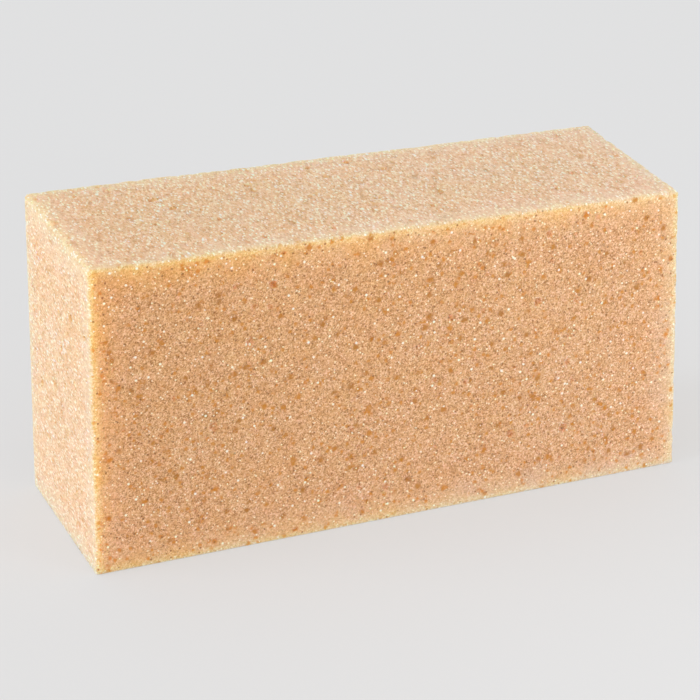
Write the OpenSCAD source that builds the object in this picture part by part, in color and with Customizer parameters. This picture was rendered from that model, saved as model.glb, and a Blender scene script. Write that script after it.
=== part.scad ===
// Cleaning sponge: one block of open-cell foam, sawn a little out of square.
// It stands on its long narrow side. +X runs along it to the right, +Y to the back, +Z up.
// The origin is the centre of the base.

/* [Block] */
// Length along the base
block_l = 183; // [120:0.5:220]
// Thickness from front to back, at mid length
block_d = 60; // [40:0.5:80]
// Height, at mid length
block_h = 91; // [60:0.5:120]

/* [Saw cuts] */
// Fall of the top towards the right end, in degrees
top_fall = 1.4; // [0:0.05:3]
// Inward lean of the left end, in degrees
left_lean = 0.7; // [0:0.05:3]
// Inward lean of the right end, in degrees
right_lean = 1.6; // [0:0.05:3]
// Narrowing of the front and of the back towards the right end, in degrees
side_taper = 0.25; // [0:0.05:1]

/* [Edges] */
// Radius of the sawn edges
edge_r = 0.9; // [0.4:0.1:2]
// Radius of the softest upright edge, at the back of the left end
soft_edge_r = 2.2; // [0.4:0.1:4]

/* [Open pores] */
// Spacing of the places where a pore may open
pore_pitch = 10; // [8:0.5:20]
// Share of those places that hold a pore
pore_share = 0.55; // [0.1:0.05:0.8]
// Radius of the smallest pore
pore_small_r = 0.6; // [0.4:0.05:1]
// Radius of the largest pore
pore_large_r = 1.5; // [1:0.05:2]
// Share of the pores where a second cell has broken through
twin_share = 0.35; // [0:0.05:1]
// Foam left between a pore and its neighbours or an edge
pore_wall = 0.4; // [0.2:0.1:1]
// Number that the scatter of the pores starts from
pore_seed = 3; // [1:1:99]

/* [Hidden] */
FOAM_COLOUR = [0.87, 0.67, 0.48];
// Steps along a rounded edge, and facets named for a round pore
EDGE_STEPS = 4;
PORE_FN = 24;
// Size of the second cell of a pore, and its distance from the first, as shares of the pore's radius
TWIN_SIZE = 0.75;
TWIN_REACH = 0.9;
// Deepest that the centre of a pore lies under the face, as a share of its radius
PORE_SINK = 0.45;
// Power that makes small pores much commoner than large ones
SMALL_BIAS = 3;
// Places that one face may use up in the numbering of pores
FACE_PLACES = 1000;
// Added to a place's number for each thing that is drawn there by chance
DRAW_OPEN = 0;
DRAW_SIZE = 0.2;
DRAW_TURN = 0.3;
DRAW_ACROSS = 0.4;
DRAW_TWIN = 0.5;
DRAW_UP = 0.6;
DRAW_SINK = 0.8;
// Step, start and gain that scramble a number into a chance
SCRAMBLE = [78.233, 12.99, 43758.5453];

// A flat cut through a point: its outward normal and its distance from the origin
function unit(v) = v / norm(v);
function cut(point, outward) = let (n = unit(outward)) [n, n * point];
function inset(plane, r) = [plane[0], plane[1] - r];

TOP = cut([0, 0, block_h], [tan(top_fall), 0, 1]);
BASE = cut([0, 0, 0], [0, 0, -1]);
LEFT = cut([-block_l / 2, 0, 0], [-1, 0, tan(left_lean)]);
RIGHT = cut([block_l / 2, 0, 0], [1, 0, tan(right_lean)]);
FRONT = cut([0, -block_d / 2, 0], [tan(side_taper), -1, 0]);
BACK = cut([0, block_d / 2, 0], [tan(side_taper), 1, 0]);
CUTS = [TOP, BASE, LEFT, RIGHT, FRONT, BACK];

// The point where three flat cuts meet
function meet(a, b, c) =
    (a[1] * cross(b[0], c[0]) + b[1] * cross(c[0], a[0]) + c[1] * cross(a[0], b[0]))
    / (a[0] * cross(b[0], c[0]));

// Points over the rounded corner of three cuts, with each cut's own tangent point among them
function round_corner(a, b, c, r) =
    let (centre = meet(inset(a, r), inset(b, r), inset(c, r)))
    [for (i = [0 : EDGE_STEPS]) for (j = [0 : EDGE_STEPS - i])
        centre + r * unit(i * a[0] + j * b[0] + (EDGE_STEPS - i - j) * c[0])];

// A number from 0 to 1 that follows from k and looks random
function chance(k) =
    let (s = sin(k * SCRAMBLE[0] + SCRAMBLE[1]) * SCRAMBLE[2])
    s - floor(s);

// Number of places along a span, even so that the middle of a face stays whole
function places(span) = 2 * floor(norm(span) / pore_pitch / 2);

// Foam between a point and the nearest cut other than its own
function room(point, own) = min([for (c = CUTS) if (c != own) c[1] - c[0] * point]);

// How far a place is moved from its spot in the grid, within the given play
function shift(k, play) = (chance(k) - 0.5) * play;

// The pores of one face, each as the way it faces, its centre, its radius and the centre of its
// second cell or undef
function pores(number, own, middle, across, up) =
    let (u = unit(across), v = unit(up), nu = places(across), nv = places(up))
    [for (i = [0 : nu - 1]) for (j = [0 : nv - 1])
        let (
            k = pore_seed + number * FACE_PLACES + i * nv + j,
            big = pow(chance(k + DRAW_SIZE), SMALL_BIAS),
            r = pore_small_r + (pore_large_r - pore_small_r) * big,
            reach = r * (TWIN_REACH + TWIN_SIZE),
            play = max(0, pore_pitch - 2 * reach - pore_wall),
            du = (i - (nu - 1) / 2) * pore_pitch + shift(k + DRAW_ACROSS, play),
            dv = (j - (nv - 1) / 2) * pore_pitch + shift(k + DRAW_UP, play),
            near = middle + du * u + dv * v,
            on_face = near - (own[0] * near - own[1]) * own[0],
            centre = on_face - PORE_SINK * r * chance(k + DRAW_SINK) * own[0],
            turn = 360 * chance(k + DRAW_TURN),
            twin = centre + TWIN_REACH * r * (cos(turn) * u + sin(turn) * v),
            open = chance(k + DRAW_OPEN) < pore_share,
            clear = room(on_face, own) > reach + soft_edge_r + pore_wall
        )
        if (open && clear)
            [own[0], centre, r, chance(k + DRAW_TWIN) < twin_share ? twin : undef]];

ALONG = [block_l, 0, 0];
THROUGH = [0, block_d, 0];
UPWARDS = [0, 0, block_h];
PORES = [
    each pores(0, TOP, UPWARDS, ALONG, THROUGH),
    each pores(1, BASE, [0, 0, 0], ALONG, THROUGH),
    each pores(2, LEFT, (UPWARDS - ALONG) / 2, THROUGH, UPWARDS),
    each pores(3, RIGHT, (UPWARDS + ALONG) / 2, THROUGH, UPWARDS),
    each pores(4, FRONT, (UPWARDS - THROUGH) / 2, ALONG, UPWARDS),
    each pores(5, BACK, (UPWARDS + THROUGH) / 2, ALONG, UPWARDS)
];

// The sawn block, with its eased edges and no pores
module block() {
    points = [
        for (a = [TOP, BASE]) for (b = [FRONT, BACK]) for (c = [LEFT, RIGHT])
            each round_corner(a, b, c, b == BACK && c == LEFT ? soft_edge_r : edge_r)
    ];
    hull()
        polyhedron(points = points, faces = [[for (i = [0 : len(points) - 1]) i]]);
}

// A round cell with its pole towards the face that it opens through
module cell(outward, centre, r) {
    translate(centre)
        rotate([0, acos(outward.z), atan2(outward.y, outward.x)])
            sphere(r, $fn = PORE_FN);
}

// One open pore: a cell, with its neighbour where the wall between them broke
module pore(outward, centre, r, twin) {
    cell(outward, centre, r);
    if (is_list(twin))
        cell(outward, twin, TWIN_SIZE * r);
}

module sponge() {
    color(FOAM_COLOUR)
        difference() {
            block();
            for (p = PORES) pore(p[0], p[1], p[2], p[3]);
        }
}

sponge();
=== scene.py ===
"""Cleaning sponge: the foam block's relief and finish, with its camera, floor and light."""

import math

import bmesh
import bpy
from mathutils import Matrix, Vector, kdtree, noise


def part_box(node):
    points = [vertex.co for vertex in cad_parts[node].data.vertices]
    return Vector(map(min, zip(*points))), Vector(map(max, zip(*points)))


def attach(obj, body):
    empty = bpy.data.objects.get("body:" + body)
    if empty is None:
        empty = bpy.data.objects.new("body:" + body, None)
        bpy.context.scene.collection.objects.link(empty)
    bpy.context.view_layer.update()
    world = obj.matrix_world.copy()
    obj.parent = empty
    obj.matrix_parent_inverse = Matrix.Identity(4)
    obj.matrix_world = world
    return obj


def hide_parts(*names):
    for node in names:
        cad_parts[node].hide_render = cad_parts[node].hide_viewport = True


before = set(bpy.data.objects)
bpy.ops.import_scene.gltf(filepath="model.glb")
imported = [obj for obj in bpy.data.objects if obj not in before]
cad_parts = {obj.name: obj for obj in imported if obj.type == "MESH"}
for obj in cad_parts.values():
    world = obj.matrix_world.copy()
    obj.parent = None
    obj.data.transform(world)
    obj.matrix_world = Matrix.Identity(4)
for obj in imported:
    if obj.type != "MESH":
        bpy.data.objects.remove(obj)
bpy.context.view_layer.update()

MM = 0.001

# The block's saw cuts, with the angles of the solid that it stands for
TOP_FALL = math.radians(1.4)
LEFT_LEAN = math.radians(0.7)
RIGHT_LEAN = math.radians(1.6)
SIDE_TAPER = math.radians(0.25)
EDGE_R = 0.9 * MM
SOFT_EDGE_R = 2.2 * MM
EDGE_SEGMENTS = 4
SHARP_ANGLE = math.radians(45)

# The mesh that the relief is pressed into
GRID = 1.5 * MM
PORE_CUTS = 3
PORE_MARGIN = 0.35 * MM

# The open pores, by the rule that scatters them over the solid
PORE_PITCH = 10 * MM
PORE_SHARE = 0.55
PORE_SMALL_R = 0.6 * MM
PORE_LARGE_R = 1.5 * MM
PORE_WALL = 0.4 * MM
PORE_SINK = 0.45
PORE_SEED = 3
TWIN_SHARE = 0.35
TWIN_SIZE = 0.75
TWIN_REACH = 0.9
SMALL_BIAS = 3
FACE_PLACES = 1000
DRAW_OPEN = 0
DRAW_SIZE = 0.2
DRAW_TURN = 0.3
DRAW_ACROSS = 0.4
DRAW_TWIN = 0.5
DRAW_UP = 0.6
DRAW_SINK = 0.8
SCRAMBLE_STEP = 78.233
SCRAMBLE_START = 12.99
SCRAMBLE_GAIN = 43758.5453

# How ragged a pore's rim is, and how deep it is pressed, as shares of its radius
RAGGED = 0.3
RAGGED_SCALE = 0.9 * MM
PORE_DEPTH = 0.5

# Waviness left by the saw, as (size of a wave, height)
SAW_WAVES = ((34 * MM, 0.16 * MM), (9 * MM, 0.07 * MM))
# Crumbling along the edges: its size, depth and width
CRUMB_SIZE = 2.2 * MM
CRUMB_DEPTH = 0.55 * MM
CRUMB_REACH = 1.8 * MM

# The camera, worked out from the block's seven visible corners
IMAGE_SIDE = 700
SENSOR = 36
FOCAL_PIXELS = 2984.3
CAMERA_PLACE = Vector((-303.83, -737.34, 409.46)) * MM
CAMERA_AZIMUTH = math.radians(-22.266)
CAMERA_ELEVATION = math.radians(24.795)

# Light
BACKDROP = 0.768
FLOOR_COLOUR = 0.81
FLOOR_HALF = 4
FLOOR_GLOW = 0.6
SKY = 0.92
# The distant lamp on the left: the way to it, its strength and colour, and how wide it looks
KEY_WAY = Vector((-0.97, 0.05, 0.30))
KEY_STRENGTH = 1.58
KEY_COLOUR = (0.98, 1.0, 1.08)
KEY_ANGLE = math.radians(50)
# The round lamp near the right end, low in front: its place, what it points at, its power and its width
FILL_PLACE = Vector((215, -410, 105)) * MM
FILL_TARGET = Vector((60, 0, 30)) * MM
FILL_POWER = 0.6
FILL_WIDTH = 200 * MM


def unit(v):
    return v.normalized()


class Cut:
    """A flat saw cut: its outward normal and its distance from the origin."""

    def __init__(self, point, outward):
        self.normal = unit(Vector(outward))
        self.distance = self.normal.dot(Vector(point))

    def depth(self, point):
        return self.distance - self.normal.dot(point)

    def on_face(self, point):
        return point + self.depth(point) * self.normal


def meet(a, b, c):
    """The point where three cuts meet."""
    na, nb, nc = a.normal, b.normal, c.normal
    top = a.distance * nb.cross(nc) + b.distance * nc.cross(na) + c.distance * na.cross(nb)
    return top / na.dot(nb.cross(nc))


def saw_cuts():
    """The six cuts, from the solid's own box and the angles."""
    low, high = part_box("sponge")
    half_depth = high.y
    top = Cut((low.x, 0, high.z), (math.tan(TOP_FALL), 0, 1))
    base = Cut((0, 0, low.z), (0, 0, -1))
    left = Cut((low.x, 0, low.z), (-1, 0, math.tan(LEFT_LEAN)))
    right = Cut((high.x, 0, low.z), (1, 0, math.tan(RIGHT_LEAN)))
    front = Cut((low.x, -half_depth, 0), (math.tan(SIDE_TAPER), -1, 0))
    back = Cut((low.x, half_depth, 0), (math.tan(SIDE_TAPER), 1, 0))
    return top, base, left, right, front, back


TOP, BASE, LEFT, RIGHT, FRONT, BACK = CUTS = saw_cuts()


def chance(k):
    """A number from 0 to 1 that follows from k and looks random."""
    s = math.sin(math.radians(k * SCRAMBLE_STEP + SCRAMBLE_START)) * SCRAMBLE_GAIN
    return s - math.floor(s)


def shift(k, play):
    return (chance(k) - 0.5) * play


class Pore:
    """One round cell that the saw opened: its cut, the centre of its mouth, its radius and its depth."""

    def __init__(self, cut, mouth, radius, sink):
        self.cut, self.mouth, self.radius, self.sink = cut, mouth, radius, sink


def face_pores(number, cut, middle, across, up):
    """The pores of one face."""
    u, v = unit(across), unit(up)
    count_u, count_v = (2 * math.floor(span.length / PORE_PITCH / 2) for span in (across, up))
    others = [c for c in CUTS if c is not cut]
    made = []
    for i in range(count_u):
        for j in range(count_v):
            k = PORE_SEED + number * FACE_PLACES + i * count_v + j
            radius = PORE_SMALL_R + (PORE_LARGE_R - PORE_SMALL_R) * chance(k + DRAW_SIZE) ** SMALL_BIAS
            reach = radius * (TWIN_REACH + TWIN_SIZE)
            play = max(0, PORE_PITCH - 2 * reach - PORE_WALL)
            along_u = (i - (count_u - 1) / 2) * PORE_PITCH + shift(k + DRAW_ACROSS, play)
            along_v = (j - (count_v - 1) / 2) * PORE_PITCH + shift(k + DRAW_UP, play)
            mouth = cut.on_face(middle + along_u * u + along_v * v)
            clear = min(c.depth(mouth) for c in others) > reach + SOFT_EDGE_R + PORE_WALL
            if chance(k + DRAW_OPEN) >= PORE_SHARE or not clear:
                continue
            sink = PORE_SINK * radius * chance(k + DRAW_SINK)
            made.append(Pore(cut, mouth, radius, sink))
            if chance(k + DRAW_TWIN) < TWIN_SHARE:
                turn = 2 * math.pi * chance(k + DRAW_TURN)
                side = TWIN_REACH * radius * (math.cos(turn) * u + math.sin(turn) * v)
                made.append(Pore(cut, mouth + side, TWIN_SIZE * radius, sink))
    return made


def all_pores():
    low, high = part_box("sponge")
    along = Vector((high.x - low.x, 0, 0))
    through = Vector((0, high.y - low.y, 0))
    upwards = Vector((0, 0, high.z - low.z))
    return [
        *face_pores(0, TOP, upwards, along, through),
        *face_pores(1, BASE, Vector(), along, through),
        *face_pores(2, LEFT, (upwards - along) / 2, through, upwards),
        *face_pores(3, RIGHT, (upwards + along) / 2, through, upwards),
        *face_pores(4, FRONT, (upwards - through) / 2, along, upwards),
        *face_pores(5, BACK, (upwards + through) / 2, along, upwards),
    ]


def sawn_block():
    """The block with its eased edges, on a grid fine enough for the relief."""
    bm = bmesh.new()
    bmesh.ops.create_cube(bm, size=1)
    for v in bm.verts:
        v.co = meet(
            TOP if v.co.z > 0 else BASE, FRONT if v.co.y < 0 else BACK, LEFT if v.co.x < 0 else RIGHT
        )
    for axis in range(3):
        ways = [e for e in bm.edges if is_along(e, axis)]
        longest = max(e.calc_length() for e in ways)
        bmesh.ops.subdivide_edges(bm, edges=ways, cuts=round(longest / GRID) - 1, use_grid_fill=True)
    corners = [e for e in bm.edges if e.calc_face_angle(0) > SHARP_ANGLE]
    bmesh.ops.bevel(
        bm, geom=corners, offset=EDGE_R, offset_type="OFFSET", segments=EDGE_SEGMENTS, profile=0.5,
        affect="EDGES", material=-1, clamp_overlap=True,
    )
    return bm


def is_along(edge, axis):
    way = edge.verts[1].co - edge.verts[0].co
    return max(range(3), key=lambda i: abs(way[i])) == axis


def refine(bm, pores):
    """Cuts the mesh finer where a pore will be pressed in."""
    tree = kdtree.KDTree(len(pores))
    for index, p in enumerate(pores):
        tree.insert(p.mouth, index)
    tree.balance()
    reach = PORE_LARGE_R * (1 + RAGGED) + PORE_MARGIN + GRID
    edges = set()
    for f in bm.faces:
        middle = f.calc_center_median()
        near = tree.find_range(middle, reach)
        if any(d < pores[i].radius * (1 + RAGGED) + PORE_MARGIN + GRID / 2 for _, i, d in near):
            edges.update(f.edges)
    bmesh.ops.subdivide_edges(bm, edges=list(edges), cuts=PORE_CUTS, use_grid_fill=True)


def smooth_step(low, high, x):
    t = min(1, max(0, (x - low) / (high - low)))
    return t * t * (3 - 2 * t)


def press_pores(bm, pores):
    """Presses each pore into the mesh and keeps how deep each vertex lies, from 0 to 1."""
    layer = bm.verts.layers.float.new("pore")
    bm.verts.ensure_lookup_table()
    tree = kdtree.KDTree(len(bm.verts))
    for index, v in enumerate(bm.verts):
        tree.insert(v.co, index)
    tree.balance()
    sinks = {}
    for p in pores:
        mouth_r = math.sqrt(p.radius**2 - p.sink**2)
        for co, index, _ in tree.find_range(p.mouth, p.radius * (1 + RAGGED)):
            if abs(p.cut.depth(co)) > PORE_MARGIN:
                continue
            rag = 1 + RAGGED * noise.noise(co / RAGGED_SCALE)
            away = (co - p.mouth).length * rag
            if away < mouth_r:
                depth = PORE_DEPTH * (p.sink + math.sqrt(p.radius**2 - away**2))
                if depth > sinks.get(index, (0, None))[0]:
                    sinks[index] = (depth, p.cut)
    for index, (depth, cut) in sinks.items():
        v = bm.verts[index]
        v.co -= depth * cut.normal
        v[layer] = min(1, depth / PORE_LARGE_R)


def ease_soft_edge(bm):
    """Rounds the worn upright edge at the back of the left end."""
    for v in bm.verts:
        a, b = LEFT.depth(v.co), BACK.depth(v.co)
        short = Vector((max(0, SOFT_EDGE_R - a), max(0, SOFT_EDGE_R - b)))
        if short.x and short.y and short.length > SOFT_EDGE_R:
            extra = short * (1 - SOFT_EDGE_R / short.length)
            v.co -= extra.x * LEFT.normal + extra.y * BACK.normal


def roughen(bm):
    """The saw's waviness, and crumbs lost along the edges. Keeps each vertex's distance to an edge, in mm."""
    bm.normal_update()
    layer = bm.verts.layers.float.new("edge")
    moves = []
    for v in bm.verts:
        depths = sorted(max(0, c.depth(v.co)) for c in CUTS)
        v[layer] = depths[1] / MM
        near_edge = 1 - smooth_step(0, CRUMB_REACH, depths[1])
        rise = sum(height * noise.noise(v.co / size) for size, height in SAW_WAVES)
        crumb = max(0, noise.noise(v.co / CRUMB_SIZE) + 0.1)
        moves.append(v.normal * (rise - near_edge * crumb * CRUMB_DEPTH))
    for v, move in zip(bm.verts, moves):
        if v.co.z > GRID / 2:
            v.co += move


class Sum:
    """A socket that takes part in sums, each of which adds its Math node."""

    def __init__(self, shader, socket):
        self.shader, self.socket = shader, socket

    def math(self, operation, a, b):
        return self.shader.add("ShaderNodeMath", {"operation": operation}, {0: a, 1: b}).out()

    def __add__(self, other):
        return self.math("ADD", self, other)

    def __sub__(self, other):
        return self.math("SUBTRACT", self, other)

    def __rsub__(self, other):
        return self.math("SUBTRACT", other, self)

    def __mul__(self, other):
        return self.math("MULTIPLY", self, other)

    def __lt__(self, other):
        return self.math("LESS_THAN", self, other)

    __radd__ = __add__
    __rmul__ = __mul__


class Made:
    """A node that was added, and its outputs."""

    def __init__(self, shader, node):
        self.shader, self.node = shader, node

    def out(self, name=0):
        return Sum(self.shader, self.node.outputs[name])


class Shader:
    """The nodes of a material or a world, which owns them."""

    def __init__(self, owner):
        owner.use_nodes = True
        self.owner, self.tree = owner, owner.node_tree
        self.tree.nodes.clear()

    def add(self, kind, settings=None, inputs=None):
        """Any node, with its settings, and with a value or a link for each input named."""
        node = self.tree.nodes.new(kind)
        for key, value in (settings or {}).items():
            setattr(node, key, value)
        for key, value in (inputs or {}).items():
            if isinstance(value, Sum):
                self.tree.links.new(value.socket, node.inputs[key])
            else:
                node.inputs[key].default_value = value
        return Made(self, node)

    def vector(self, operation, inputs):
        return self.add("ShaderNodeVectorMath", {"operation": operation}, inputs)

    def blend(self, factor, a, b, how="MIX"):
        """Two colours mixed by a factor."""
        a, b = (x if isinstance(x, Sum) else (*x, 1) for x in (a, b))
        # The node's inputs 6 and 7 and its output 2 are the ones for colours
        return self.add(
            "ShaderNodeMix", {"data_type": "RGBA", "blend_type": how}, {0: factor, 6: a, 7: b}
        ).out(2)

    def ramp(self, low, high, x):
        """0 at low and 1 at high, smoothly."""
        return self.add(
            "ShaderNodeMapRange", {"interpolation_type": "SMOOTHSTEP"}, {0: x, 1: low, 2: high}
        ).out()


# The broad faces lie across the way that the foam rose, and the top, the base and the ends lie along it. A
# pair below holds what a broad face has and what the others have: the others' lighter tones are painted
# sheen, their extra glint spots painted highlights, and their fainter pores and pits less painted shade.
DARK = ((0.43, 0.18, 0.05), (0.61, 0.30, 0.10))
MAIN = ((0.73, 0.405, 0.183), (0.86, 0.52, 0.275))
PALE = ((0.95, 0.67, 0.43), (1.0, 0.84, 0.63))
GRAIN_WEIGHT = (0.2, 0.5)
PORE_SHADE_STRENGTH = (1.0, 0.5)
PIT_SHADE_STRENGTH = (0.9, 0.2)
GLINT_SHARE = (0.27, 0.47)
GLINT_INNER = (0.14, 0.2)
GLINT_OUTER = (0.32, 0.36)
WALL_GLINT_SHARE = (0.0, 0.3)
LARGE_GLINT_SHARE = (0.2, 0.35)

# The other colours: painted shade within the pores and pits, and painted glint highlights
PORE_SHADE = (0.66, 0.26, 0.015)
PORE_SHADE_BROWN = (0.46, 0.18, 0.015)
PIT_SHADE = (0.33, 0.12, 0.02)
PAINTED_GLINT_COLOUR = (1.0, 0.88, 0.67)
PAINTED_LARGE_GLINT_COLOUR = (1.0, 0.93, 0.79)
# Painted light: the tint drifts from gold at the top left to cream at the bottom right, by so much a metre
GOLD = (1.0, 0.98, 0.89)
CREAM = (1.0, 1.03, 1.14)
LIGHT_DRIFT = (2.7, 0, -5.0)
LIGHT_DRIFT_START = 0.22

# Near an edge, in mm: where a broad face's tones turn from the others' painted sheen to its own, where a
# lighter band of painted light sets in, and where it dies out
EDGE_TONES = (0.6, 3.2)
EDGE_TONES_STRENGTH = 0.8
RIM_LIGHT_START = 1.2
RIM_LIGHT_END = (1.0, 12.0)
RIM_LIGHT_STRENGTH = 0.35
RIM_LIGHT_GOLD = (0.90, 0.52, 0.12)
RIM_LIGHT_CREAM = (0.78, 0.68, 0.52)

# Sizes of the patterns, in mm
SPECK_SIZE = 0.34
FACET_SIZE = 0.36
FUZZ_SIZE = 0.5
GRAIN_SIZE = 0.62
RAG_SIZE = 0.7
WALL_GLINT_SIZE = 0.75
GLINT_SIZE = 1.1
PIT_SIZE = 1.5
LARGE_GLINT_SIZE = 2.2
SMALL_PORE_SIZE = 2.5
LARGE_PORE_SIZE = 4.0
CROWD_SIZE = 6.0
PATCH_SIZE = 9.0
# Share of the cells of their size that hold a pit
PIT_SHARE = 0.3
# How unevenly the soft pores crowd, how many fewer the faces with painted sheen have, and what is taken off
# everywhere
CROWD_SPREAD = 2.4
CROWD_PALER = 0.4
CROWD_START = 0.55
# How deep each kind of spot looks, as heights of the bump
SMALL_PORE_DIP = 1.2
LARGE_PORE_DIP = 1.6
PIT_DIP = 0.8
BUMP_STRENGTH = 0.8
BUMP_HEIGHT = 0.25 * MM
# How far the small facets lean
FACET_LEAN = 0.35
# How much longer a foam cell is the way that the foam rose, from front to back, and a turn that keeps the
# rows of the patterns from lying along the faces
CELL_RISE = 2.1
CELL_TURN = (0.6, 0.4, 0.9)

# How far red light scatters in the foam, and the share of that for each colour
SCATTER_REACH = 15 * MM
SCATTER_SHARES = (1.0, 0.6, 0.3)
SHEEN = 0.35
SHEEN_TINT = (1.0, 0.93, 0.84)


def foam_material():
    """Open-cell foam: a fine speckle of struts and cells, small pores and pits darkened with painted shade,
    painted glint highlights of cell wall, lighter painted sheen on the top, the base and the ends, and
    painted light near the edges and across the block.
    """
    s = Shader(bpy.data.materials.new("foam_finish"))
    place = s.add("ShaderNodeTexCoord").out("Object")
    pore = s.add("ShaderNodeAttribute", {"attribute_name": "pore"}).out("Fac")
    edge = s.add("ShaderNodeAttribute", {"attribute_name": "edge"}).out("Fac")
    outward = s.add("ShaderNodeNewGeometry").out("Normal")
    across = s.add("ShaderNodeSeparateXYZ", {}, {0: outward}).out("Y")
    # 0 on the broad faces, and 1 on the others
    walls = 1 - across * across
    grown = (1 / MM, 1 / MM / CELL_RISE, 1 / MM)
    mm = s.add("ShaderNodeMapping", {}, {"Vector": place, "Rotation": CELL_TURN, "Scale": grown}).out()

    def cells(size, output):
        return s.add("ShaderNodeTexVoronoi", {}, {"Vector": mm, "Scale": 1 / size}).out(output)

    def tone_of(size, channel=0):
        """A random number for each cell of that size."""
        return s.add("ShaderNodeSeparateColor", {}, {0: cells(size, "Color")}).out(channel)

    def clouds(size, detail):
        return s.add(
            "ShaderNodeTexNoise", {}, {"Vector": mm, "Scale": 1 / size, "Detail": detail, "Roughness": 0.6}
        ).out("Fac")

    def spots(size, share, inner, outer, rag=0):
        """Round or ragged spots at a share of the cells of that size, fading from inner to outer."""
        return (tone_of(size) < share) * (1 - s.ramp(inner, outer, cells(size, "Distance") + rag))

    def by_face(pair):
        """What a broad face has, and what the others have."""
        return walls * (pair[1] - pair[0]) + pair[0]

    crowding = clouds(CROWD_SIZE, 0.0) * CROWD_SPREAD - walls * CROWD_PALER - CROWD_START
    ragged = clouds(RAG_SIZE, 1.0) * 0.4 - 0.2
    small_pores = spots(SMALL_PORE_SIZE, crowding, 0.1, 0.36, ragged)
    large_pores = spots(LARGE_PORE_SIZE, crowding, 0.1, 0.34, ragged * 0.8)
    pits = spots(PIT_SIZE, PIT_SHARE, 0.1, 0.3)
    # Painted highlights: glint spots of cell wall, more of them on the top, the base and the ends
    painted_glints = spots(GLINT_SIZE, by_face(GLINT_SHARE), by_face(GLINT_INNER), by_face(GLINT_OUTER))
    painted_wall_glints = spots(WALL_GLINT_SIZE, by_face(WALL_GLINT_SHARE), 0.2, 0.4)
    painted_large_glints = spots(LARGE_GLINT_SIZE, by_face(LARGE_GLINT_SHARE), 0.13, 0.22)

    # The speckle of struts and cells, from dark over main to pale
    weight = by_face(GRAIN_WEIGHT)
    tone = tone_of(SPECK_SIZE) * (1 - weight) + tone_of(GRAIN_SIZE, 1) * weight
    # Painted sheen: the top, the base, the ends and a broad face near its edges take the lighter tones
    painted_sheen = walls + (1 - walls) * (1 - s.ramp(*EDGE_TONES, edge)) * EDGE_TONES_STRENGTH
    dark, main, pale = (s.blend(painted_sheen, *pair) for pair in (DARK, MAIN, PALE))
    colour = s.blend(s.ramp(0.5, 1.0, tone), s.blend(s.ramp(0.0, 0.5, tone), dark, main), pale)

    # Painted light: the tint drifts from gold at the top left to cream at the bottom right, with random
    # patches added
    light_drift = s.vector("DOT_PRODUCT", {0: place, 1: LIGHT_DRIFT}).out("Value") + clouds(PATCH_SIZE, 1.0) + LIGHT_DRIFT_START
    # Painted light: a lighter band near the edges, gold or cream as the tint goes
    painted_rim_light = s.ramp(0.0, RIM_LIGHT_START, edge + walls * RIM_LIGHT_START) * (1 - s.ramp(*RIM_LIGHT_END, edge))
    colour = s.blend(painted_rim_light * RIM_LIGHT_STRENGTH, colour, s.blend(light_drift + walls, RIM_LIGHT_GOLD, RIM_LIGHT_CREAM))

    # Painted shade: the pressed pores, the soft pores and the pits are darker and more orange within
    pore_shade_colour = s.blend(tone_of(LARGE_PORE_SIZE, 1), PORE_SHADE, PORE_SHADE_BROWN)
    strength = by_face(PORE_SHADE_STRENGTH)
    colour = s.blend(s.ramp(0.0, 0.6, pore) * strength * 0.25, colour, pore_shade_colour)
    colour = s.blend(small_pores * strength * 0.8, colour, PORE_SHADE)
    colour = s.blend(large_pores * strength * 0.9, colour, pore_shade_colour)
    colour = s.blend(pits * by_face(PIT_SHADE_STRENGTH), colour, PIT_SHADE)
    # The painted light's gold to cream tint goes over all of the colour
    colour = s.blend(1.0, colour, s.blend(light_drift, GOLD, CREAM), "MULTIPLY")
    # Painted highlights: the glint spots of cell wall go over the colour
    colour = s.blend(painted_glints, colour, PAINTED_GLINT_COLOUR)
    colour = s.blend(painted_wall_glints, colour, PAINTED_LARGE_GLINT_COLOUR)
    colour = s.blend(painted_large_glints, colour, PAINTED_LARGE_GLINT_COLOUR)

    aside = s.vector("SUBTRACT", {0: cells(FACET_SIZE, "Color"), 1: (0.5,) * 3}).out()
    lean = s.vector("SCALE", {0: aside, 3: FACET_LEAN}).out()
    facet = s.vector("NORMALIZE", {0: s.vector("ADD", {0: outward, 1: lean}).out()}).out()
    dips = small_pores * SMALL_PORE_DIP + large_pores * LARGE_PORE_DIP + pits * PIT_DIP
    height = clouds(FUZZ_SIZE, 1.0) - dips
    bump = s.add(
        "ShaderNodeBump", {},
        {"Strength": BUMP_STRENGTH, "Distance": BUMP_HEIGHT, "Height": height, "Normal": facet},
    ).out()
    shade = s.add(
        "ShaderNodeBsdfPrincipled", {},
        {
            "Base Color": colour, "Roughness": 0.6, "Normal": bump, "IOR": 1.4,
            "Subsurface Weight": 1.0, "Subsurface Radius": SCATTER_SHARES, "Subsurface Scale": SCATTER_REACH,
            "Sheen Weight": SHEEN, "Sheen Roughness": 0.5, "Sheen Tint": (*SHEEN_TINT, 1),
        },
    ).out()
    s.add("ShaderNodeOutputMaterial", {}, {"Surface": shade})
    return s.owner


def placed(name, bm, material):
    """The finished mesh as an object at the origin."""
    mesh = bpy.data.meshes.new(name)
    bm.to_mesh(mesh)
    bm.free()
    mesh.materials.append(material)
    thing = bpy.data.objects.new(name, mesh)
    bpy.context.scene.collection.objects.link(thing)
    return thing


def foam_block():
    """The block with its pores, its saw waves and its finish."""
    bm = sawn_block()
    pores = all_pores()
    refine(bm, pores)
    ease_soft_edge(bm)
    press_pores(bm, pores)
    roughen(bm)
    bmesh.ops.recalc_face_normals(bm, faces=bm.faces)
    made = placed("foam_block", bm, foam_material())
    made.data.shade_smooth()
    return made


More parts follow.
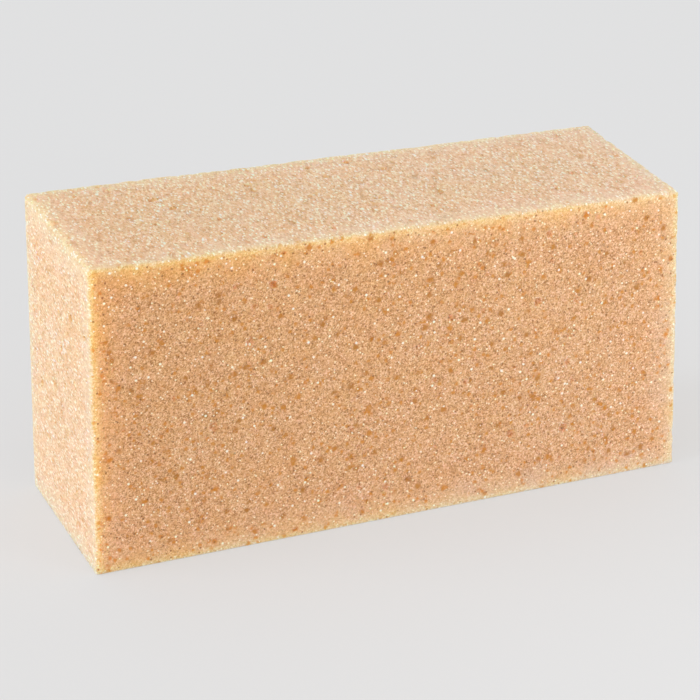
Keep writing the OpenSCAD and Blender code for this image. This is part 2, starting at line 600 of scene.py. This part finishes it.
def place_camera():
    data = bpy.data.cameras.new("camera")
    data.sensor_width = SENSOR
    data.lens = FOCAL_PIXELS * SENSOR / IMAGE_SIDE
    camera = bpy.data.objects.new("camera", data)
    bpy.context.scene.collection.objects.link(camera)
    level = math.cos(CAMERA_ELEVATION)
    ahead = Vector((
        -math.sin(CAMERA_AZIMUTH) * level, math.cos(CAMERA_AZIMUTH) * level, -math.sin(CAMERA_ELEVATION)
    ))
    camera.matrix_world = Matrix.LocRotScale(CAMERA_PLACE, ahead.to_track_quat("-Z", "Y"), None)
    bpy.context.scene.camera = camera


def seen_directly(s):
    """1 for what the camera, a gloss or a clear piece sees, and 0 for light on its way."""
    path = s.add("ShaderNodeLightPath")
    return s.add(
        "ShaderNodeMath", {"operation": "ADD", "use_clamp": True},
        {0: path.out("Is Camera Ray") + path.out("Is Glossy Ray"), 1: path.out("Is Transmission Ray")},
    ).out()


def lay_floor():
    """A pale floor that shows the backdrop's grey and keeps the block's shadow."""
    s = Shader(bpy.data.materials.new("floor"))
    plain = s.add("ShaderNodeBsdfDiffuse", {}, {"Color": (FLOOR_COLOUR,) * 3 + (1,)}).out()
    glow = s.add("ShaderNodeEmission", {}, {"Color": (BACKDROP,) * 3 + (1,)}).out()
    shown = s.add("ShaderNodeMixShader", {}, {0: FLOOR_GLOW, 1: plain, 2: glow}).out()
    both = s.add("ShaderNodeMixShader", {}, {0: seen_directly(s), 1: plain, 2: shown}).out()
    s.add("ShaderNodeOutputMaterial", {}, {"Surface": both})
    bm = bmesh.new()
    bmesh.ops.create_grid(bm, x_segments=1, y_segments=1, size=FLOOR_HALF)
    placed("floor", bm, s.owner)


def hang_lamp(name, kind, strength, place, back):
    """A lamp at a place, with its back turned the given way."""
    data = bpy.data.lights.new(name, kind)
    data.energy = strength
    lamp = bpy.data.objects.new(name, data)
    lamp.matrix_world = Matrix.LocRotScale(place, back.to_track_quat("Z", "Y"), None)
    lamp.visible_camera = False
    bpy.context.scene.collection.objects.link(lamp)
    return data


def hang_lights():
    """An even sky that is seen as the backdrop's grey, and the two lamps."""
    s = Shader(bpy.data.worlds.new("studio"))
    level = s.add("ShaderNodeMapRange", {}, {0: seen_directly(s), 3: SKY, 4: BACKDROP}).out()
    background = s.add("ShaderNodeBackground", {}, {"Strength": level}).out()
    s.add("ShaderNodeOutputWorld", {}, {"Surface": background})
    bpy.context.scene.world = s.owner

    key = hang_lamp("key", "SUN", KEY_STRENGTH, Vector(), KEY_WAY)
    key.angle = KEY_ANGLE
    key.color = KEY_COLOUR
    fill = hang_lamp("fill", "AREA", FILL_POWER, FILL_PLACE, FILL_PLACE - FILL_TARGET)
    fill.shape = "DISK"
    fill.size = FILL_WIDTH


place_camera()
lay_floor()
hang_lights()
block = foam_block()
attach(block, "root")
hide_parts("sponge")

bpy.context.scene.view_settings.view_transform = "Standard"
